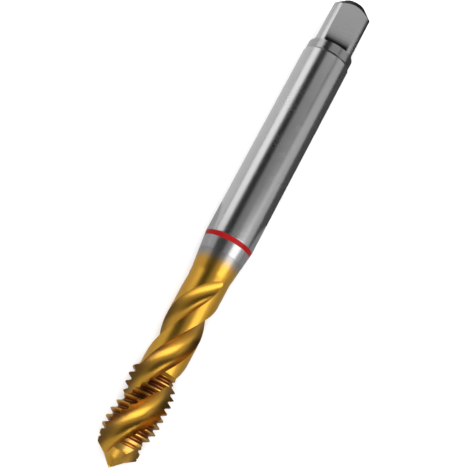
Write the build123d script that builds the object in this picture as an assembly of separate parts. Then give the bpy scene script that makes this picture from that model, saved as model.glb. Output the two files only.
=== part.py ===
from build123d import *
import math
import os

# A spiral-flute machine tap with a tapered neck, ground from one bar of tool steel.
# It is modelled along its own axis, from the point (station 0) up to the driving square,
# and then laid down along X. Lengths are in millimetres and angles in degrees.

# Thread
thread_diameter = 10.0
thread_pitch = 1.5
thread_root_diameter = 8.2
thread_flank_angle = 60.0  # included angle of the groove
thread_root_flat = 0.25  # width of the groove's floor
thread_length = 15.3  # from the start of the lead to the last full crest
thread_back_angle = 40.0  # slope from the last crest down to the neck
groove_start = 0.45  # station where the groove's helix passes the first flat's middle

# Point and lead
point_diameter = 4.2
point_angle = 90.0  # included angle of the male centre
nose_angle = 112.0  # included angle of the face behind the male centre
nose_radius = 0.5  # rounding between that face and the lead
lead_diameter = 8.3  # at the small end of the lead
lead_angle = 14.0  # slope of the lead to the axis

# Flutes
flute_count = 3
flute_lead = 40.0  # advance along the axis for one full turn, right-hand
flute_phase = 30.6  # angle of the first flute's middle at the point, from the first flat
flute_opening = 78.0  # angle between the two edges of a flute, at the thread diameter
flute_core_diameter = 4.2
flute_hook = 0.25  # how far the floor lies towards the cutting edge: sets the rake
flute_full_length = 28.5  # station where the grinding wheel starts to lift
flute_wheel_radius = 36.5  # radius of the wheel's run-out along the axis

# Neck and shank
neck_diameter = 8.1
neck_length = 21.0
taper_length = 7.8
shank_diameter = 10.0
shank_length = 43.1

# Driving square
collar_diameter = 9.65  # reduced end of the shank, and the square's rounded corners
collar_chamfer = 0.4
collar_length = 1.9
square_across_flats = 8.0
square_length = 11.5  # from the start of the flats to the end face
flat_slope = 36.0  # angle of the flats' run-out to the axis
flat_run_out_radius = 0.6  # concave foot of that run-out
end_chamfer = 2.4  # 45 degrees, round the end face

# How far the cutting tools reach beyond the bar
clearance = 1.0
groove_overcut = 0.1
groove_turn = 72.0  # angle that one stretch of the groove's cutter turns through

thread_radius = thread_diameter / 2
root_radius = thread_root_diameter / 2
neck_radius = neck_diameter / 2
shank_radius = shank_diameter / 2
collar_radius = collar_diameter / 2


def run(rise, slope):
    """Length along the axis in which a face rises by so much at so steep a slope."""
    return rise / math.tan(math.radians(slope))


# Stations along the axis, from the point
point_end = run(point_diameter / 2, point_angle / 2)
lead_start = point_end + run((lead_diameter - point_diameter) / 2, nose_angle / 2)
lead_end = lead_start + run(thread_radius - lead_diameter / 2, lead_angle)
thread_end = lead_start + thread_length
neck_start = thread_end + run(thread_radius - neck_radius, thread_back_angle)
neck_end = neck_start + neck_length
shank_start = neck_end + taper_length
shank_end = shank_start + shank_length
collar_start = shank_end + collar_chamfer
flat_start = collar_start + collar_length
overall_length = flat_start + square_length


def turned_bar():
    """The bar as it leaves the lathe: point, lead, neck, taper, shank and collar, revolved."""
    outline = Polyline(
        (0, 0),
        (point_diameter / 2, point_end),
        (lead_diameter / 2, lead_start),
        (thread_radius, lead_end),
        (thread_radius, thread_end),
        (neck_radius, neck_start),
        (neck_radius, neck_end),
        (shank_radius, shank_start),
        (shank_radius, shank_end),
        (collar_radius, collar_start),
        (collar_radius, overall_length - end_chamfer),
        (collar_radius - end_chamfer, overall_length),
        (0, overall_length),
        close=True,
    )
    half_section = make_face(outline)
    nose = half_section.vertices().sort_by_distance((lead_diameter / 2, lead_start))[0]
    half_section = fillet(nose, nose_radius)
    return revolve(Plane.XZ * half_section, Axis.Z)


def groove_cutter():
    """A short helical stretch of the vee between the crests, long enough for one land.

    It starts at angle 0 and station 0 and turns right-handed through groove_turn.
    """
    depth = thread_radius - root_radius + groove_overcut
    floor_half = thread_root_flat / 2
    outer_half = floor_half + depth * math.tan(math.radians(thread_flank_angle / 2))
    helix = Edge.make_helix(
        pitch=thread_pitch,
        height=thread_pitch * groove_turn / 360,
        radius=root_radius,
    )
    vee = Polyline(
        (root_radius, -floor_half),
        (root_radius + depth, -outer_half),
        (root_radius + depth, outer_half),
        (root_radius, floor_half),
        close=True,
    )
    section = (Plane.XZ * make_face(vee)).face()
    return Solid.sweep(section, Wire(helix), is_frenet=True)


def groove_cuts():
    """The groove cutter at each place where the thread's one helix crosses a land.

    The helix climbs a pitch a turn from groove_start, and the lands themselves turn with
    the flutes, so each crossing is where the two lines meet.
    """
    cutter = groove_cutter()
    cuts = []
    for land in range(flute_count):
        land_angle = flute_phase + 360 * (land + 0.5) / flute_count
        turn = 0
        station = 0.0
        while station < neck_start + thread_pitch:
            climb = groove_start + thread_pitch * (turn + land_angle / 360)
            station = climb / (1 - thread_pitch / flute_lead)
            if station > point_end:
                angle = land_angle + 360 * station / flute_lead
                low = station - thread_pitch * groove_turn / 720
                cuts.append(Pos(0, 0, low) * Rot(0, 0, angle - groove_turn / 2) * cutter)
            turn += 1
    return cuts


def wheel_lift(station):
    """How far out the wheel stands from the full depth: an arc of its radius."""
    past = max(0.0, station - flute_full_length)
    return flute_wheel_radius - math.sqrt(flute_wheel_radius**2 - past**2)


def flute_section(station):
    """Section of the wheel's cut across the axis: two arcs that share the flute's floor.

    Each arc leaves the floor square to the flute's middle line and ends at one edge. The
    lines beyond the edges go on in the arcs' own directions, clear of the bar.
    """
    core = flute_core_diameter / 2
    half = math.radians(flute_opening / 2)
    edge_x = thread_radius * math.cos(half)
    edge_y = thread_radius * math.sin(half)
    rise = edge_x - core
    floor = (core, flute_hook)
    corners = []
    arcs = []
    for side in (1, -1):
        span = side * edge_y - flute_hook
        radius = (rise**2 + span**2) / (2 * rise)
        end_turn = math.asin(abs(span) / radius)
        middle = (
            core + radius * (1 - math.cos(end_turn / 2)),
            flute_hook + side * radius * math.sin(end_turn / 2),
        )
        edge = (edge_x, side * edge_y)
        beyond = (
            edge_x + 1.5 * clearance * math.sin(end_turn),
            side * (edge_y + 1.5 * clearance * math.cos(end_turn)),
        )
        arcs.append(ThreePointArc(floor, middle, edge))
        arcs.append(Line(edge, beyond))
        corners.append(beyond)
    outline = Wire(arcs + [Line(corners[0], corners[1])])
    turn = flute_phase + 360 * station / flute_lead
    place = Location((0, 0, station), (0, 0, turn)) * Location((wheel_lift(station), 0, 0))
    return place * outline


def flute_cutters():
    """One flute's cut, lofted through its turning sections: at full depth, then lifting."""
    lift_out = thread_radius - flute_core_diameter / 2
    run_out = math.sqrt(lift_out * (2 * flute_wheel_radius - lift_out))
    full_end = flute_full_length
    cutters = []
    for low, high in ((-clearance, full_end), (full_end, full_end + run_out)):
        steps = math.ceil((high - low) / flute_lead * 18)  # a section every 20 degrees
        stations = [low + (high - low) * step / steps for step in range(steps + 1)]
        cutters.append(Solid.make_loft([flute_section(station) for station in stations]))
    return cutters


def flat_cutter():
    """Removes all that lies outside one flat of the square, with its concave run-out."""
    flat = square_across_flats / 2
    slope_top = collar_radius + clearance
    foot = flat_start + run(collar_radius - flat, flat_slope)
    outline = Polyline(
        (slope_top, flat_start - run(clearance, flat_slope)),
        (flat, foot),
        (flat, overall_length + clearance),
        (slope_top, overall_length + clearance),
        close=True,
    )
    side_view = make_face(outline)
    corner = side_view.vertices().sort_by_distance((flat, foot))[0]
    side_view = fillet(corner, flat_run_out_radius)
    return extrude(Plane.XZ * side_view, collar_radius + clearance, both=True)


def tap():
    """The finished tap, upright, with the first flat facing +X."""
    body = turned_bar()
    for flute in flute_cutters():
        body -= [Rot(0, 0, 360 * k / flute_count) * flute for k in range(flute_count)]
    body -= groove_cuts()
    flat = flat_cutter()
    body -= [Rot(0, 0, 90 * k) * flat for k in range(4)]
    return body


# The tap lies along X, with its point towards -X and the first flat facing up. It rests
# on the shank and the thread's crests, and the origin is under the middle of its length.
lying = Plane(origin=(-overall_length / 2, 0, shank_radius), x_dir=(0, 0, 1), z_dir=(1, 0, 0))

os.makedirs("parts", exist_ok=True)
export_step(lying.location * tap(), "parts/tap.step")
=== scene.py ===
"""Looks of a spiral-flute machine tap: gold-coated thread and neck, ground shank, red ring."""

import math

import bpy
import numpy as np
from mathutils import Matrix, Vector


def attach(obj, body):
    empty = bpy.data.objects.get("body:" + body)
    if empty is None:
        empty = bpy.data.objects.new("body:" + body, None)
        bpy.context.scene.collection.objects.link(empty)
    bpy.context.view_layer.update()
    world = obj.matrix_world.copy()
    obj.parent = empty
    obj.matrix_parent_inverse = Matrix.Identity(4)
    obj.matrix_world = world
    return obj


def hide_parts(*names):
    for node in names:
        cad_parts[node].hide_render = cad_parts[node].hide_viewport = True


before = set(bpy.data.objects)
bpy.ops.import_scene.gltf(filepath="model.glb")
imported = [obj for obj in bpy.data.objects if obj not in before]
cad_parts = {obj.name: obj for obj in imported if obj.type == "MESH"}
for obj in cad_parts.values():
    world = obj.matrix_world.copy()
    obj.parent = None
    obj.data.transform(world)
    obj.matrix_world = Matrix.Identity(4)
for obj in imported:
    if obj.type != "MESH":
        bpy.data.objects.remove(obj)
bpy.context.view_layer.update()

MM = 0.001

# The part's own sizes, in millimetres and degrees, along the axis from the point (station 0)
thread_radius = 5.0
thread_pitch = 1.5
root_radius = 4.1
thread_flank_angle = 60.0
thread_root_flat = 0.25
thread_length = 15.3
thread_back_angle = 40.0
groove_start = 0.45
point_radius = 2.1
point_angle = 90.0
nose_angle = 112.0
nose_radius = 0.5
lead_radius = 4.15
lead_angle = 14.0
flute_count = 3
flute_lead = 40.0
flute_phase = 30.6
flute_opening = 78.0
flute_core = 2.1
flute_hook = 0.25
flute_full_length = 28.5
flute_wheel_radius = 36.5
neck_radius = 4.05
neck_length = 21.0
taper_length = 7.8
shank_radius = 5.0
shank_length = 43.1
collar_radius = 4.825
collar_chamfer = 0.4
collar_length = 1.9
flat_distance = 4.0
square_length = 11.5
shoulder_slope = 85.0  # the flats end at a shoulder, steeper than the solid's plain slope
shoulder_radius = 0.35
end_chamfer = 2.4

# Finishes: stations along the axis, and how far each mark reaches
coating_full = 42.4  # the coating is whole up to here
coating_end = 44.9  # and gone from here on
steel_margin = 0.6  # past the coating's end, where the ground steel's own finish takes over
ring_width = 1.06
shoulder_shade_reach = 1.5  # how far the painted shade at each flat's shoulder spreads along the flat
flute_edge_shade_reach = 0.75  # how far the painted shade inside each flute's edges spreads into the flute
collar_darkening = 0.28  # share of the shoulder's painted shade that darkens the collar evenly

# Colours, from the darker to the lighter where there are two
gold = (0.87, 0.46, 0.056, 1), (0.95, 0.52, 0.074, 1)
crest_gold = (0.52, 0.42, 0.22, 1)
# painted shade just inside each flute's edges
flute_edge_painted_shade = (0.42, 0.23, 0.065, 1)
# painted shade for the thread's roots, a darker brown down in the groove
thread_root_painted_shade = (0.27, 0.10, 0.035, 1)
taper_steel = (0.46, 0.45, 0.44, 1)
shank_steel = (0.54, 0.54, 0.545, 1), (0.60, 0.60, 0.60, 1)
# painted shade at the foot of each flat's shoulder, also used to darken the collar
shoulder_painted_shade = (0.02, 0.016, 0.016, 1)
enamel_red = (0.21, 0.001, 0.002, 1), (0.25, 0.002, 0.003, 1)
crest_share = 0.3
# how strongly the painted shade darkens the flutes' edges
flute_edge_shade_share = 0.9
relief_depth = 0.00001  # in metres

# Studio, in metres
overhead_brightness = 3.0
overhead_size = 3.0
overhead_height = 1.5
floor_half = 3.0
sky_lit = 0.2  # how bright the sky is as a light
sky_seen = 1.0  # and behind the tap
card_distance = 0.3  # of the hanging cards from the axis
card_reach = 0.5  # of the cards on the floor, sideways
card_gap = 0.002  # between those and the axis
card_lift = 0.0002  # of those over the floor


def run(rise, slope):
    """Length along the axis in which a face rises by so much at so steep a slope."""
    return rise / math.tan(math.radians(slope))


point_end = run(point_radius, point_angle / 2)
lead_start = point_end + run(lead_radius - point_radius, nose_angle / 2)
lead_end = lead_start + run(thread_radius - lead_radius, lead_angle)
thread_end = lead_start + thread_length
neck_start = thread_end + run(thread_radius - neck_radius, thread_back_angle)
neck_end = neck_start + neck_length
shank_start = neck_end + taper_length
shank_end = shank_start + shank_length
collar_start = shank_end + collar_chamfer
flat_start = collar_start + collar_length
overall_length = flat_start + square_length
ring_start = shank_start - ring_width

# The wheel lifts until the flute's floor leaves the neck, at the leaf-shaped end of each flute
leaf_lift = math.sqrt(neck_radius**2 - flute_hook**2) - flute_core
leaf_end = flute_full_length + math.sqrt(leaf_lift * (2 * flute_wheel_radius - leaf_lift))

# One land meets the thread's helix again after this length, since the land turns as well
land_pitch = thread_pitch / (1 - thread_pitch / flute_lead)

# Columns of the grid round the tap
flute_heel_steps = 14
flute_face_steps = 12
land_steps = 32
flat_steps = 18

# Rows of the grid along the tap
nose_arc_steps = 9
nose_steps = 26
neck_steps = 26
leaf_steps = 49
cone_steps = 4


def turned_profile():
    """Stations and radii of the turned bar, with the nose rounded by an arc.

    The arc touches both faces beside the corner: its centre lies inside the bar, square to
    each face by the arc's radius.
    """
    steep = math.radians(nose_angle / 2)
    shallow = math.radians(lead_angle)
    reach = nose_radius * math.tan((steep - shallow) / 2)
    centre = (
        lead_start - reach * math.cos(steep) + nose_radius * math.sin(steep),
        lead_radius - reach * math.sin(steep) - nose_radius * math.cos(steep),
    )
    slope = np.linspace(steep, shallow, nose_arc_steps)
    stations = np.concatenate(
        [
            [0, point_end],
            centre[0] - nose_radius * np.sin(slope),
            [lead_end, thread_end, neck_start, neck_end, shank_start, shank_end],
            [collar_start, overall_length - end_chamfer, overall_length],
        ]
    )
    radii = np.concatenate(
        [
            [0, point_radius],
            centre[1] + nose_radius * np.cos(slope),
            [thread_radius, thread_radius, neck_radius, neck_radius, shank_radius, shank_radius],
            [collar_radius, collar_radius, collar_radius - end_chamfer],
        ]
    )
    return stations, radii


profile_stations, profile_radii = turned_profile()


def outer_radius(station, angle):
    """Radius of the turned bar, less the thread's groove.

    The groove's middle climbs a pitch a turn. Across it the radius is the root's on the flat
    floor, and rises beyond that at the flank's angle until it meets the bar.
    """
    bar = np.interp(station, profile_stations, profile_radii)
    turns = (station - groove_start) / thread_pitch - angle / 360
    off_middle = np.abs((turns + 0.5) % 1 - 0.5) * thread_pitch
    rise = np.maximum(0, off_middle - thread_root_flat / 2)
    groove = root_radius + rise / math.tan(math.radians(thread_flank_angle / 2))
    return np.where(station < neck_start, np.minimum(bar, groove), bar)


def wheel_lift(station):
    """How far out the wheel stands from full depth: nothing, then an arc of its radius."""
    past = np.clip(station - flute_full_length, 0, leaf_end - flute_full_length)
    return flute_wheel_radius - np.sqrt(flute_wheel_radius**2 - past**2)


def flute_middle(station):
    """Angle of the first flute's middle, which turns evenly while there is a flute."""
    return flute_phase + 360 * np.clip(station, point_end, leaf_end) / flute_lead


def arc_radius(side):
    """Radius of the arc from the flute's floor to its edge, on one side of the middle."""
    half = math.radians(flute_opening / 2)
    rise = thread_radius * math.cos(half) - flute_core
    span = side * thread_radius * math.sin(half) - flute_hook
    return (rise**2 + span**2) / (2 * rise)


def flute_edge(side, radius, lift):
    """Angle from the flute's middle at which its arc meets the outer radius.

    Two circles cross: the outer one, about the axis, and the arc's, whose centre stands out
    from the floor by the arc's radius. Where the outer radius is less than the floor's, the
    flute has no width and the angle is the floor's own.
    """
    bend = arc_radius(side)
    out = flute_core + lift + bend
    centre_distance = np.hypot(out, flute_hook)
    cosine = (centre_distance**2 + radius**2 - bend**2) / (2 * centre_distance * radius)
    angle = np.arctan2(flute_hook, out) + side * np.arccos(np.clip(cosine, -1, 1))
    floor_radius = np.hypot(flute_core + lift, flute_hook)
    floor_angle = np.arctan2(flute_hook, flute_core + lift)
    return np.degrees(np.where(radius > floor_radius, angle, floor_angle))


def sheared(station, lean, off_land):
    """A row's station at an angle from its land's middle, where it leans with the thread."""
    return station + lean * land_pitch * off_land / 360


def land_edge(side, flute, station, lean):
    """Angle, station and radius at which a flute's arc meets the land beside it.

    The angle depends on the radius and the radius on the angle, so they are worked out in
    turn a few times, which settles them.
    """
    settling_rounds = 5
    angle = np.full(station.shape, side * flute_opening / 2)
    for _ in range(settling_rounds):
        place = sheared(station, lean, angle - side * 180 / flute_count)
        round_axis = angle + flute_middle(place) + 360 * flute / flute_count
        radius = outer_radius(place, round_axis)
        angle = flute_edge(side, radius, wheel_lift(place))
    return angle, place, radius


def land_columns(flute, station, lean):
    """Stations, angles and radii of the land after a flute, from its cutting edge to the heel.

    The angle goes evenly from one edge to the other, and the radius is the outer one.
    """
    near, _, _ = land_edge(1, flute, station, lean)
    far, _, _ = land_edge(-1, flute + 1, station, lean)
    share = np.arange(land_steps)[None, :] / land_steps
    angle = near[:, None] + (far + 360 / flute_count - near)[:, None] * share
    place = sheared(station[:, None], lean[:, None], angle - 180 / flute_count)
    round_axis = angle + flute_middle(place) + 360 * flute / flute_count
    return place, round_axis, outer_radius(place, round_axis)


def flute_columns(flute, station, lean):
    """Stations, angles and radii across a flute, from its heel down to the floor and up.

    On each side the surface turns evenly along its arc: out by the arc's radius less its
    cosine part, and sideways by its sine part.
    """
    closed_turn = 1e-6
    edges = [(-1, flute_heel_steps, False), (1, flute_face_steps, True)]
    parts = []
    for side, steps, rising in edges:
        angle, place, radius = land_edge(side, flute, station, lean)
        bend = arc_radius(side)
        across = side * (radius * np.sin(np.radians(angle)) - flute_hook) / bend
        end_turn = np.arcsin(np.clip(across, 0, 1))
        share = np.arange(steps)[None, :] / steps
        turn = end_turn[:, None] * (share if rising else 1 - share)
        away = share if rising else 1 - share
        where = station[:, None] + (place - station)[:, None] * away
        out = flute_core + wheel_lift(where) + bend * (1 - np.cos(turn))
        sideways = flute_hook + side * bend * np.sin(turn)
        reach = np.hypot(out, sideways)
        closed = end_turn[:, None] <= closed_turn
        reach = np.where(closed, radius[:, None], reach)
        round_axis = np.degrees(np.arctan2(sideways, out))
        round_axis = np.where(closed, angle[:, None], round_axis)
        round_axis = round_axis + flute_middle(where) + 360 * flute / flute_count
        parts.append((where, round_axis, reach))
    return [np.concatenate(part, axis=1) for part in zip(*parts)]


def fluted_rows():
    """Stations and leans of the rows from the point to the end of the flutes.

    Rows bunch towards the two ends of the flutes, where their edges run together. On the
    thread they follow its helix, and stand where the crest's and root's edges are on all
    three lands, which are a third of a pitch apart.
    """
    first_groove = groove_start + thread_pitch * (flute_phase + 180 / flute_count) / 360
    aligned = first_groove * land_pitch / thread_pitch
    flank = run(thread_radius - root_radius, 90 - thread_flank_angle / 2)
    crest_edge = thread_root_flat / 2 + flank
    third = 1 / flute_count
    root_edge = thread_root_flat / 2 / thread_pitch
    crest_edge = crest_edge / thread_pitch - third
    marks = [0, root_edge, crest_edge, third - crest_edge, third - root_edge, third]
    steps = [2, 1, 4, 1, 2]
    pieces = [np.linspace(a, b, n, endpoint=False) for a, b, n in zip(marks, marks[1:], steps)]
    in_third = np.concatenate(pieces)
    before_lead, past_neck, lean_fade = 0.15, 0.1, 2.5
    first = math.ceil((lead_start - before_lead - aligned) / land_pitch * flute_count)
    last = math.ceil((neck_start + past_neck - aligned) / land_pitch * flute_count)
    thirds = np.arange(first, last)[:, None] * third
    thread = aligned + land_pitch * (thirds + in_third[None, :]).ravel()
    nose_share = np.linspace(0, 1, nose_steps, endpoint=False)
    nose = point_end + (thread[0] - point_end) * nose_share**2
    neck = np.linspace(thread[-1], flute_full_length, neck_steps)[1:-1]
    leaf_share = np.linspace(1, 0, leaf_steps)
    leaf = leaf_end - (leaf_end - flute_full_length) * leaf_share**2
    station = np.concatenate([nose, thread, neck, leaf])
    lean_in = np.interp(station, [point_end, thread[0]], [0, 1])
    lean_out = np.interp(station, [neck_start, neck_start + lean_fade], [1, 0])
    return station, np.minimum(lean_in, lean_out)


def fluted_part():
    """The grid of the point, thread and neck: land and flute columns in turn, three times."""
    station, lean = fluted_rows()
    columns = []
    for flute in range(flute_count):
        columns.append(flute_columns(flute, station, lean))
        columns.append(land_columns(flute, station, lean))
    return [np.concatenate(part, axis=1) for part in zip(*columns)]


def flat_height(station):
    """Height of a flat over the axis: a steep shoulder with a small round foot.

    The foot is an arc that touches the shoulder's slope and the flat.
    """
    slope = math.radians(shoulder_slope)
    foot = flat_start + run(collar_radius - flat_distance, shoulder_slope)
    reach = shoulder_radius * math.tan(slope / 2)
    wall = collar_radius - (station - flat_start) * math.tan(slope)
    past = np.clip(foot + reach - station, 0, shoulder_radius)
    bowl = flat_distance + shoulder_radius - np.sqrt(shoulder_radius**2 - past**2)
    return np.where(station < foot - reach * math.cos(slope), wall, bowl)


def square_angles(angle):
    """Angle from the nearest flat's middle, between -45 and 45 degrees."""
    return (angle + 45) % 90 - 45


def shank_columns():
    """Angles of the columns on the shank and on the square.

    On the shank they are even, from the seams where the flutes closed. On the square each
    quadrant has a flat's columns between the flat's two edges, and a corner's between flats.
    """
    step = 360 / (flute_count * land_steps)
    lift_angle = math.degrees(math.atan2(flute_hook, flute_core + leaf_lift))
    seam = float(flute_middle(np.array(leaf_end))) + lift_angle
    order = np.arange(flute_count * land_steps)
    even = seam + step * order
    aligned = step * (round(seam / step) + order)
    flat_edge = math.degrees(math.acos(flat_distance / collar_radius))
    from_flat = square_angles(aligned)
    plain_edge = step * flat_steps / 2
    before = [-45, -plain_edge, plain_edge, 45]
    after = [-45, -flat_edge, flat_edge, 45]
    warped = np.interp(from_flat, before, after)
    return even, aligned + warped - from_flat


def shank_part():
    """The grid of the taper, ring, shank and collar: plain rings of the turned bar.

    The columns move over to the square's along the shank. The rows stand close at each
    corner of the profile, so that the light turns there and not along the whole face.
    """
    even, squared = shank_columns()
    close = 0.1
    station = np.concatenate(
        [
            np.linspace(leaf_end, neck_end - close, 3)[1:],
            np.linspace(neck_end + close, ring_start, 12),
            np.linspace(ring_start + close, shank_start - close / 2, 4),
            [shank_start + close / 2],
            np.linspace(shank_start + 3 * close, shank_end - close, 22),
            np.linspace(shank_end, collar_start, 3),
            [collar_start + close],
        ]
    )
    share = np.interp(station, [neck_end, shank_end], [0, 1])[:, None]
    angle = even + (squared - even) * share
    place = np.broadcast_to(station[:, None], angle.shape)
    return place, angle, np.interp(place, profile_stations, profile_radii)


def square_part():
    """The grid of the driving square and the end face.

    Rows bend so that one lies along each edge: where the flats' shoulders leave the collar,
    and where the end's cone cuts the flats. They bunch towards each shoulder's foot. A flat's
    radius is its height over the cosine of the angle from its middle.
    """
    _, angle = shank_columns()
    flat_edge = math.degrees(math.acos(flat_distance / collar_radius))
    from_flat = np.clip(np.abs(square_angles(angle)), 0, flat_edge)
    cosine = np.cos(np.radians(from_flat))
    samples, past_edge = 2000, 0.2
    shoulder_end = flat_start + 2 * shoulder_radius
    shoulder_stations = np.linspace(flat_start, shoulder_end, samples)
    shoulder_heights = flat_height(shoulder_stations)
    first_edge = np.interp(-collar_radius * cosine, -shoulder_heights, shoulder_stations)
    cone_start = overall_length - end_chamfer
    last_edge = cone_start + collar_radius - flat_distance / cosine
    level = np.full(angle.shape, shoulder_end)
    rows = []
    for low, high, steps, bunched in (
        (np.full(angle.shape, collar_start + past_edge), first_edge, 4, 1),
        (first_edge, level, 18, 2),
        (level, last_edge, 14, 1.4),
        (last_edge, np.full(angle.shape, overall_length), 5, 1),
    ):
        share = (np.arange(steps)[:, None] / steps) ** bunched
        rows.append(low + (high - low) * share)
    rows.append(np.full((1, angle.size), overall_length))
    place = np.concatenate(rows)
    round_axis = np.broadcast_to(angle, place.shape)
    bar = np.interp(place, profile_stations, profile_radii)
    bar = np.where(place < cone_start, bar, collar_radius - (place - cone_start))
    flat = flat_height(place) / cosine
    on_flat = np.abs(square_angles(round_axis)) < flat_edge
    radius = np.where(on_flat & (place > first_edge), np.minimum(bar, flat), bar)
    return place, round_axis, radius


def end_caps(angle_first, angle_last):
    """The point's cone, from its tip, and the flat end face, down to its middle."""
    cone = np.linspace(0, point_end, cone_steps + 1)[:-1, None]
    tip_station = np.broadcast_to(cone, (cone_steps, angle_first.size))
    tip_angle = np.broadcast_to(angle_first, tip_station.shape)
    tip = (tip_station, tip_angle, tip_station * point_radius / point_end)
    shares = np.array([[0.66], [0.33], [0]])
    rings = (collar_radius - end_chamfer) * shares
    face_radius = np.broadcast_to(rings, (shares.size, angle_last.size))
    face_angle = np.broadcast_to(angle_last, face_radius.shape)
    face = (np.full(face_radius.shape, overall_length), face_angle, face_radius)
    return tip, face


def with_flute_columns(part):
    """Repeats each seam's column in a shank grid, once for every column of a closed flute."""
    repeats = np.ones(flute_count * land_steps, int)
    repeats[::land_steps] += flute_heel_steps + flute_face_steps
    return [np.repeat(array, repeats, axis=1) for array in part]


def tap_grid():
    """All rows from the tip to the middle of the end face: stations, angles and radii."""
    fluted = fluted_part()
    plain = with_flute_columns(shank_part())
    square = with_flute_columns(square_part())
    tip, face = end_caps(fluted[1][0], square[1][-1])
    return [np.concatenate(rows) for rows in zip(tip, fluted, plain, square, face)]


def along_x(station, angle, radius):
    """Metres in the frame: the point towards -X, angle 0 facing up and 90 facing -Y."""
    turn = np.radians(angle)
    return np.stack(
        [
            station - overall_length / 2,
            -radius * np.sin(turn),
            shank_radius + radius * np.cos(turn),
        ],
        axis=-1,
    ) * MM


def closed_mesh(points):
    """Corners and cells of the grid, each row closed round the axis, with doubles merged.

    The third result is the grid point that each corner comes from.
    """
    merge_distance = 2e-7
    rows, columns = points.shape[:2]
    here = np.arange(rows * columns).reshape(rows, columns)
    beside = np.roll(here, -1, axis=1)
    cells = np.stack([here[:-1], beside[:-1], beside[1:], here[1:]], axis=-1).reshape(-1, 4)
    flat_points = np.round(points.reshape(-1, 3) / merge_distance).astype(np.int64)
    _, first, same = np.unique(flat_points, axis=0, return_index=True, return_inverse=True)
    cells = same.reshape(-1)[cells]
    vertices = points.reshape(-1, 3)[first]
    return vertices, cells, first


def grid_marks(angle, radius, station):
    """The marks that the finishes follow: one value for each grid point.

    Flute columns count 1 and land columns 0. Depth in the thread is the bar's radius less
    the surface's, over the groove's full depth. The way across is angle times radius. The
    crests are what the groove leaves of the bar. The painted shade just inside each flute's
    edges and the painted shade at the foot of each flat's shoulder fall off as bell curves,
    and the collar is evenly darkened.
    """
    one_flute = [1] * (flute_heel_steps + flute_face_steps) + [0] * land_steps
    column_flute = np.array(one_flute * flute_count, float)
    fluted = (station > point_end) & (station < leaf_end)
    in_flute = np.where(fluted, column_flute[None, :], 0)
    bar = np.interp(station, profile_stations, profile_radii)
    depth = np.clip((bar - radius) / (thread_radius - root_radius), 0, 1)
    depth = np.where((in_flute == 0) & (station < neck_start), depth, 0)
    across = np.radians(angle - flute_middle(station)) * np.maximum(radius, 1)
    threaded = (station > lead_start) & (station < thread_end + 0.1)
    crest = (in_flute == 0) & threaded & (depth < 0.05)
    spacing = 360 / flute_count
    off_middle = np.abs((angle - flute_middle(station) + spacing / 2) % spacing - spacing / 2)
    from_edge = np.radians(flute_opening / 2 - off_middle) * thread_radius
    # painted shade, falling off from each flute's edge into the flute
    flute_edge_shade = np.exp(-((from_edge / flute_edge_shade_reach) ** 2)) * in_flute
    squared = station > flat_start
    cut_away = squared & (bar - radius > 0.001)
    # painted shade at the foot of each flat's shoulder
    bell = np.exp(-(((station - flat_start) / shoulder_shade_reach) ** 2))
    shoulder_shade_and_dark_collar = np.minimum(1, 1.3 * bell) * cut_away
    on_collar = (station > shank_end) & ~squared | squared & ~cut_away
    # the collar is darkened evenly by a share of the shoulder's painted shade
    shoulder_shade_and_dark_collar += collar_darkening * on_collar * (station < flat_start + shoulder_radius)
    return {
        "in_flute": in_flute,
        "thread_depth": depth,
        "crest": crest,
        "flute_edge_shade": flute_edge_shade,
        "across": across,
        "station": station,
        "shoulder_shade_and_dark_collar": shoulder_shade_and_dark_collar,
    }


def build_tap():
    """The tap as one closed piece, with the marks that its finishes follow."""
    station, angle, radius = tap_grid()
    points = along_x(station, angle, radius)
    vertices, cells, first = closed_mesh(points)
    mesh = bpy.data.meshes.new("fluted_tap")
    faces = [list(dict.fromkeys(cell)) for cell in cells.tolist()]
    faces = [face for face in faces if len(face) > 2]
    mesh.from_pydata(vertices.tolist(), [], faces)
    for name, values in grid_marks(angle, radius, station).items():
        mark = mesh.attributes.new(name, "FLOAT", "POINT")
        mark.data.foreach_set("value", values.ravel()[first].astype(np.float32))
    mesh.shade_smooth()
    sharp_angle = 20
    mesh.set_sharp_from_angle(angle=math.radians(sharp_angle))
    tap = bpy.data.objects.new("fluted_tap", mesh)
    bpy.context.scene.collection.objects.link(tap)
    return tap


def finish_faces(mesh, materials, limits):
    """Gives each face the finish of its station: materials change at the given stations."""
    middles = np.empty(len(mesh.polygons) * 3, np.float32)
    mesh.polygons.foreach_get("center", middles)
    station = middles[::3] / MM + overall_length / 2
    for material in materials:
        mesh.materials.append(material)
    order = np.searchsorted(limits, station).astype(np.int32)
    mesh.polygons.foreach_set("material_index", order)


# Node helpers


def node(tree, kind, **values):
    """A node with its plain properties and its unlinked inputs set by name."""
    made = tree.nodes.new(kind)
    for name, value in values.items():
        if name in made.inputs:
            made.inputs[name].default_value = value
        else:
            setattr(made, name, value)
    return made


def wire(tree, source, target):
    """Joins an output socket to an input socket."""
    tree.links.new(source, target)


def math_node(tree, operation, first, second=None, third=None):
    """A maths node whose inputs are numbers or sockets; returns its output."""
    made = node(tree, "ShaderNodeMath", operation=operation)
    for index, value in enumerate((first, second, third)):
        if value is None:
            continue
        if isinstance(value, (int, float)):
            made.inputs[index].default_value = value
        else:
            wire(tree, value, made.inputs[index])
    return made.outputs[0]


def colour_mix(tree, share, first, second):
    """Mixes two colours, each a tuple or a socket, by a share."""
    made = node(tree, "ShaderNodeMix", data_type="RGBA")
    for index, value in ((0, share), (6, first), (7, second)):
        if isinstance(value, (int, float, tuple)):
            made.inputs[index].default_value = value
        else:
            wire(tree, value, made.inputs[index])
    return made.outputs[2]


def attribute(tree, name):
    """The value of one of the mesh's marks."""
    return node(tree, "ShaderNodeAttribute", attribute_name=name).outputs["Fac"]


def part_of_mark(tree, name, share):
    """A share of one of the mesh's marks."""
    return math_node(tree, "MULTIPLY", attribute(tree, name), share)


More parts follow.
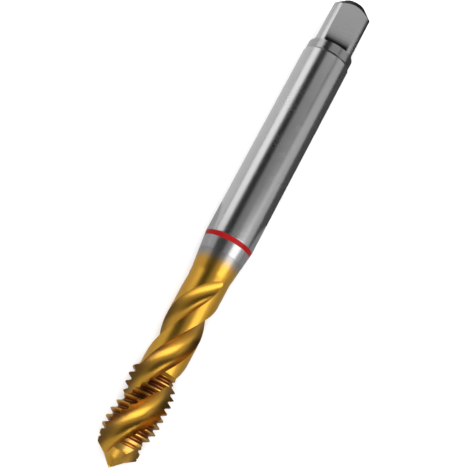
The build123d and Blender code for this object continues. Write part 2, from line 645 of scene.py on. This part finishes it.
def new_group(name, inputs, outputs):
    """A node group with named sockets, and its own input and output nodes."""
    group = bpy.data.node_groups.new(name, "ShaderNodeTree")
    number = "NodeSocketFloat"
    for label, value in inputs.items():
        socket = group.interface.new_socket(name=label, in_out="INPUT", socket_type=number)
        socket.default_value = value
    for label in outputs:
        group.interface.new_socket(name=label, in_out="OUTPUT", socket_type=number)
    return group, group.nodes.new("NodeGroupInput"), group.nodes.new("NodeGroupOutput")


def grinding_marks_group():
    """Fine lines left by grinding, as a height and as a value for the roughness.

    Noise is stretched out along the lines. Round marks run about the axis, so they change
    quickly along X alone. Wheel marks run along a flute, so they change across it. Slow
    patches are added to the lines to make the unevenness.
    """
    slow_scale, patch_scale = 140.0, 190.0  # per metre
    group, given, result = new_group(
        "grinding_marks", {"Lines per mm": 12.0, "Along flute": 0.0}, ["Height", "Unevenness"]
    )
    place = node(group, "ShaderNodeTexCoord").outputs["Object"]
    apart = node(group, "ShaderNodeSeparateXYZ")
    wire(group, place, apart.inputs[0])
    lines_per_mm = given.outputs["Lines per mm"]
    fine = math_node(group, "MULTIPLY", lines_per_mm, 1 / MM)
    round_lines = math_node(group, "MULTIPLY", apart.outputs["X"], fine)
    across_lines = math_node(group, "MULTIPLY", attribute(group, "across"), lines_per_mm)
    lines = node(group, "ShaderNodeMix", data_type="FLOAT")
    wire(group, given.outputs["Along flute"], lines.inputs[0])
    wire(group, round_lines, lines.inputs[2])
    wire(group, across_lines, lines.inputs[3])
    slow_y = math_node(group, "MULTIPLY", apart.outputs["Y"], slow_scale)
    slow_z = math_node(group, "MULTIPLY", apart.outputs["Z"], slow_scale)
    joined = node(group, "ShaderNodeCombineXYZ")
    wire(group, lines.outputs[0], joined.inputs[0])
    wire(group, slow_y, joined.inputs[1])
    wire(group, slow_z, joined.inputs[2])
    noise = node(group, "ShaderNodeTexNoise", Scale=1.0, Detail=3.0, Roughness=0.6)
    wire(group, joined.outputs[0], noise.inputs["Vector"])
    wire(group, noise.outputs["Fac"], result.inputs["Height"])
    patches = node(group, "ShaderNodeTexNoise", Scale=patch_scale, Detail=3.0, Roughness=0.55)
    wire(group, place, patches.inputs["Vector"])
    both = math_node(group, "MULTIPLY_ADD", noise.outputs["Fac"], 0.5, patches.outputs["Fac"])
    wire(group, math_node(group, "SUBTRACT", both, 0.25), result.inputs["Unevenness"])
    return group


def placed_group(tree, group, **values):
    """A node group in a material, with this material's own values."""
    made = node(tree, "ShaderNodeGroup", node_tree=group)
    for name, value in values.items():
        socket = made.inputs[name.replace("_", " ")]
        if isinstance(value, (int, float)):
            socket.default_value = value
        else:
            wire(tree, value, socket)
    return made


def new_material(name):
    """A plain material; returns it with its node tree and its surface shader."""
    material = bpy.data.materials.new(name)
    material.use_nodes = True
    tree = material.node_tree
    shader = tree.nodes["Principled BSDF"]
    return material, tree, shader


def add_relief(tree, shader, height, strength):
    """Fine relief of the surface from a height."""
    bump = node(tree, "ShaderNodeBump", Strength=strength, Distance=relief_depth)
    wire(tree, height, bump.inputs["Height"])
    wire(tree, bump.outputs["Normal"], shader.inputs["Normal"])


def add_roughness(tree, shader, unevenness, low, high):
    """Roughness that goes from low to high over the middle half of the unevenness."""
    spread = node(tree, "ShaderNodeMapRange")
    limits = {"From Min": 0.25, "From Max": 0.75, "To Min": low, "To Max": high}
    for label, value in limits.items():
        spread.inputs[label].default_value = value
    wire(tree, unevenness, spread.inputs["Value"])
    wire(tree, spread.outputs["Result"], shader.inputs["Roughness"])


def coating_material(marks_group):
    """Gold nitride coating on ground steel, which thins out to bare steel up the taper.

    It has painted shade, a darker brown, down in the thread and just inside the flutes' edges,
    and is paler on the rubbed crests. The fade's edge is ragged by the unevenness.
    """
    material, tree, shader = new_material("gold_nitride_coating")
    shader.inputs["Metallic"].default_value = 1.0
    in_flute = attribute(tree, "in_flute")
    marks = placed_group(tree, marks_group, Lines_per_mm=9.0, Along_flute=in_flute)
    unevenness = marks.outputs["Unevenness"]
    # painted shade down in the thread, strongest at the root
    thread_shade_share = math_node(tree, "POWER", attribute(tree, "thread_depth"), 0.7)
    coated = colour_mix(tree, unevenness, *gold)
    coated = colour_mix(tree, part_of_mark(tree, "crest", crest_share), coated, crest_gold)
    # painted shade just inside the flutes' edges
    coated = colour_mix(tree, part_of_mark(tree, "flute_edge_shade", flute_edge_shade_share), coated, flute_edge_painted_shade)
    coated = colour_mix(tree, thread_shade_share, coated, thread_root_painted_shade)
    fade = node(tree, "ShaderNodeMapRange", interpolation_type="SMOOTHSTEP")
    for label, value in (("From Min", coating_full), ("From Max", coating_end)):
        fade.inputs[label].default_value = value
    raggedness = 0.8
    ragged = math_node(tree, "MULTIPLY_ADD", unevenness, raggedness, attribute(tree, "station"))
    wire(tree, math_node(tree, "SUBTRACT", ragged, raggedness / 2), fade.inputs["Value"])
    colour = colour_mix(tree, fade.outputs["Result"], coated, taper_steel)
    wire(tree, colour, shader.inputs["Base Color"])
    add_roughness(tree, shader, unevenness, 0.28, 0.35)
    add_relief(tree, shader, marks.outputs["Height"], 0.25)
    return material


def steel_material(marks_group):
    """Bare high-speed steel, ground to a fine satin, with painted shade at the shoulders' feet
    and an evenly darker collar.

    It has no relief, only lines in its colour and gloss.
    """
    material, tree, shader = new_material("ground_steel")
    shader.inputs["Metallic"].default_value = 1.0
    marks = placed_group(tree, marks_group, Lines_per_mm=6.0, Along_flute=0.0)
    colour = colour_mix(tree, marks.outputs["Unevenness"], *shank_steel)
    # painted shade at the shoulders' feet, and the collar's even darkening
    colour = colour_mix(tree, attribute(tree, "shoulder_shade_and_dark_collar"), colour, shoulder_painted_shade)
    wire(tree, colour, shader.inputs["Base Color"])
    add_roughness(tree, shader, marks.outputs["Unevenness"], 0.24, 0.28)
    return material


def ring_material(marks_group):
    """Red enamel over the ground steel, which shows through as a faint unevenness."""
    material, tree, shader = new_material("red_enamel")
    marks = placed_group(tree, marks_group, Lines_per_mm=6.0, Along_flute=0.0)
    colour = colour_mix(tree, marks.outputs["Unevenness"], *enamel_red)
    wire(tree, colour, shader.inputs["Base Color"])
    shader.inputs["Specular IOR Level"].default_value = 0.15
    shader.inputs["Coat Weight"].default_value = 0.1
    add_roughness(tree, shader, marks.outputs["Unevenness"], 0.28, 0.42)
    add_relief(tree, shader, marks.outputs["Height"], 0.15)
    return material


tap = build_tap()
marks_group = grinding_marks_group()
coating = coating_material(marks_group)
steel = steel_material(marks_group)
enamel = ring_material(marks_group)
limits = [coating_end + steel_margin, ring_start, shank_start]
finish_faces(tap.data, [coating, steel, enamel, steel], limits)
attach(tap, "root")
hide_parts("tap")


# Studio


def round_the_tap(distance, side_angle, along):
    """A point at a distance from the axis and an angle from straight up, towards -Y."""
    turn = math.radians(side_angle)
    return (along, -distance * math.sin(turn), distance * math.cos(turn) + shank_radius * MM)


def flat_mesh_object(name, corners, material):
    """A rectangle with four given corners, as part of the studio and not of the tap."""
    mesh = bpy.data.meshes.new(name)
    mesh.from_pydata(corners, [], [(0, 1, 2, 3)])
    mesh.materials.append(material)
    made = bpy.data.objects.new(name, mesh)
    bpy.context.scene.collection.objects.link(made)
    return made


def studio_card(name, corners, brightness):
    """A card that is seen only as a reflection in the metal, as bright as it should look."""
    material, _, shader = new_material(name)
    shader.inputs["Base Color"].default_value = (0, 0, 0, 1)
    shader.inputs["Specular IOR Level"].default_value = 0.0
    shader.inputs["Emission Color"].default_value = (1, 1, 1, 1)
    shader.inputs["Emission Strength"].default_value = brightness
    card = flat_mesh_object(name, corners, material)
    card.visible_camera = False
    card.visible_diffuse = False
    card.visible_shadow = False
    card.visible_transmission = False
    card.visible_volume_scatter = False


def hanging_card(name, angles, along, brightness):
    """A card along the tap that fills a range of angles round it."""
    (low, high), (near, far) = angles, along
    corners = [
        round_the_tap(card_distance, low, near),
        round_the_tap(card_distance, high, near),
        round_the_tap(card_distance, high, far),
        round_the_tap(card_distance, low, far),
    ]
    studio_card(name, corners, brightness)


def level_corners(near, far, inner, outer, height):
    """Corners of a level rectangle, from one place to another along X and Y."""
    places = [(near, inner), (far, inner), (far, outer), (near, outer)]
    return [(x, y, height) for x, y in places]


def lying_card(name, side, along, brightness):
    """A card on the floor beside the tap: side is 1 for +Y and -1 for -Y."""
    corners = level_corners(*along, side * card_gap, side * card_reach, card_lift)
    studio_card(name, corners, brightness)


def studio():
    """The pale floor, the sky, one broad soft light overhead and the cards round the tap."""
    material, _, shader = new_material("pale_floor")
    shader.inputs["Base Color"].default_value = (0.86, 0.86, 0.86, 1)
    shader.inputs["Roughness"].default_value = 0.9
    shader.inputs["Specular IOR Level"].default_value = 0.1
    floor = level_corners(-floor_half, floor_half, -floor_half, floor_half, 0)
    flat_mesh_object("floor", floor, material)

    world = bpy.data.worlds.new("studio_sky")
    world.use_nodes = True
    tree = world.node_tree
    sky = tree.nodes["Background"]
    sky.inputs["Color"].default_value = (1, 1, 1, 1)
    seen = node(tree, "ShaderNodeLightPath").outputs["Is Camera Ray"]
    strength = math_node(tree, "MULTIPLY_ADD", seen, sky_seen - sky_lit, sky_lit)
    wire(tree, strength, sky.inputs["Strength"])
    bpy.context.scene.world = world

    data = bpy.data.lights.new("overhead", "AREA")
    data.size = overhead_size
    data.energy = overhead_brightness * math.pi * data.size**2
    overhead = bpy.data.objects.new("overhead", data)
    overhead.location = (0, 0, overhead_height)
    overhead.visible_glossy = False
    bpy.context.scene.collection.objects.link(overhead)

    over_point, over_bare_steel = (-0.30, 0.06), (0.065, 0.22)
    over_shank, over_square, past_square = (0.065, 0.170), (0.170, 0.225), (0.225, 1.0)
    dark_over_point = (-0.10, 0.06)
    beside_point, beside_shank = (-0.30, 0.004), (0.004, 0.40)
    for name, angles, along, brightness in (
        ("point_right", (22, 62), over_point, 2.0),
        ("point_right_low", (64, 92), over_point, 0.50),
        ("point_top", (-6, 20), over_point, 0.32),
        ("point_dark", (-58, -8), dark_over_point, 0.05),
        ("point_left", (-90, -58), over_point, 0.45),
        ("shank_left", (-84, -50), over_bare_steel, 1.45),
        ("shank_dark", (-49, -15), over_bare_steel, 0.0),
        ("shank_top", (-14, 34), over_shank, 0.26),
        ("shank_right", (44, 90), over_bare_steel, 0.60),
        ("square_top", (-14, 34), over_square, 0.85),
        ("square_dark", (-60, 60), past_square, 0.0),
    ):
        hanging_card(name, angles, along, brightness)
    for name, side, along, brightness in (
        ("floor_point_left", 1, beside_point, 0.45),
        ("floor_point_right", -1, beside_point, 0.32),
        ("floor_shank_left", 1, beside_shank, 0.75),
        ("floor_shank_right", -1, beside_shank, 0.08),
    ):
        lying_card(name, side, along, brightness)
    past_end = level_corners(0.053, 0.4, 0.006, -card_reach, 1.5 * card_lift)
    studio_card("floor_end_dark", past_end, 0.02)


studio()

# Camera
camera_data = bpy.data.cameras.new("camera")
camera_data.lens = 99.57
camera_data.sensor_width = 36.0
camera_data.clip_start = 0.01
camera_data.clip_end = 50
camera = bpy.data.objects.new("camera", camera_data)
bpy.context.scene.collection.objects.link(camera)
camera_place = Vector((-72.548, 12.290, 246.955)) * MM
looking = Vector((0.27882, -0.05026, -0.95902))
upwards = Vector((0.84738, 0.48279, 0.22106))
sideways = looking.cross(upwards)
turn = Matrix((sideways, upwards, -looking)).transposed().to_4x4()
camera.matrix_world = Matrix.Translation(camera_place) @ turn
bpy.context.scene.camera = camera
bpy.context.scene.view_settings.view_transform = "Standard"
